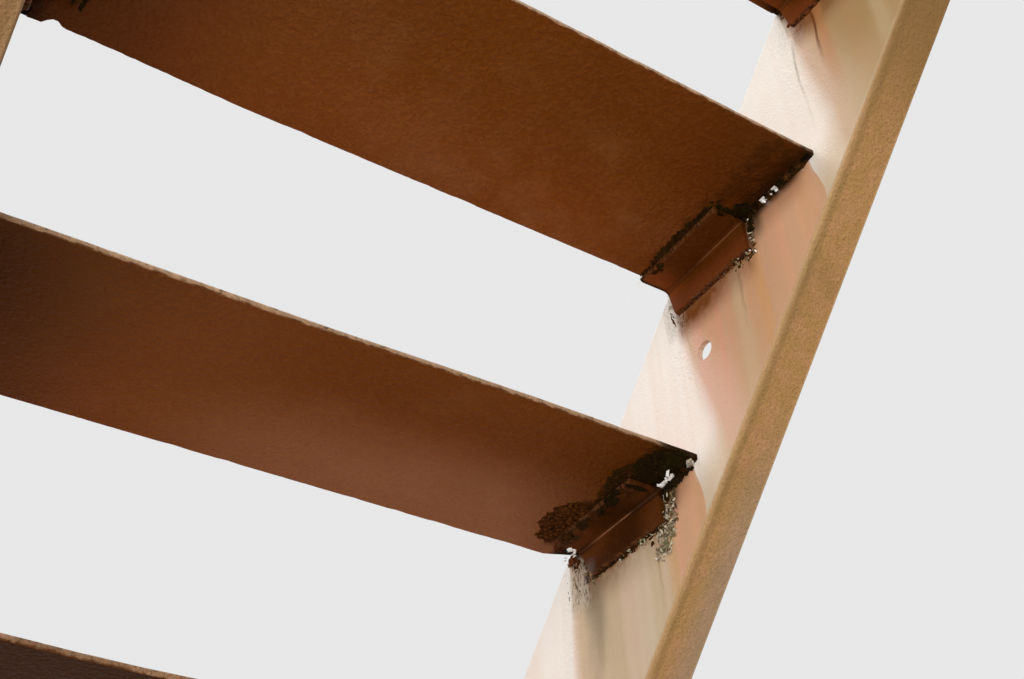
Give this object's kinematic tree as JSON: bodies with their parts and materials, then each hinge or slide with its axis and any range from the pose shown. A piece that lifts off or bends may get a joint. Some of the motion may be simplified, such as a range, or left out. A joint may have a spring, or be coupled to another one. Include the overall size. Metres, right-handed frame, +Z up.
{
  "type": "steel stair flight",
  "caption": "Straight open-riser steel stair flight: flat plate treads on angle cleats between two inclined channel stringers, with a sole angle and head clips.",
  "frame": {"origin": "on the floor, on the centre line, straight below the front edge of the first tread, in the underside of the sole angle", "axes": "+Z up, the flight climbs towards +Y, X across the treads"},
  "size_m": [0.8212, 2.14, 2.1586],
  "materials": {
    "stringer_paint": "weathered brown paint with rust and drip streaks",
    "tread_paint": "weathered dark red-brown paint, orange-peel texture",
    "cleat_paint": "dark red-brown paint over flaking rust"
  },
  "bodies": {
    "root": {"stringer_left": "stringer_paint", "stringer_right": "stringer_paint", "tread_1": "tread_paint", "tread_2": "tread_paint", "tread_3": "tread_paint", "tread_4": "tread_paint", "tread_5": "tread_paint", "tread_6": "tread_paint", "tread_7": "tread_paint", "tread_8": "tread_paint", "tread_9": "tread_paint", "cleat_left_1": "cleat_paint", "cleat_right_1": "cleat_paint", "cleat_left_2": "cleat_paint", "cleat_right_2": "cleat_paint", "cleat_left_3": "cleat_paint", "cleat_right_3": "cleat_paint", "cleat_left_4": "cleat_paint", "cleat_right_4": "cleat_paint", "cleat_left_5": "cleat_paint", "cleat_right_5": "cleat_paint", "cleat_left_6": "cleat_paint", "cleat_right_6": "cleat_paint", "cleat_left_7": "cleat_paint", "cleat_right_7": "cleat_paint", "cleat_left_8": "cleat_paint", "cleat_right_8": "cleat_paint", "cleat_left_9": "cleat_paint", "cleat_right_9": "cleat_paint", "sole_angle": "stringer_paint", "head_clip_left": "stringer_paint", "head_clip_right": "stringer_paint"}
  },
  "joints": []
}
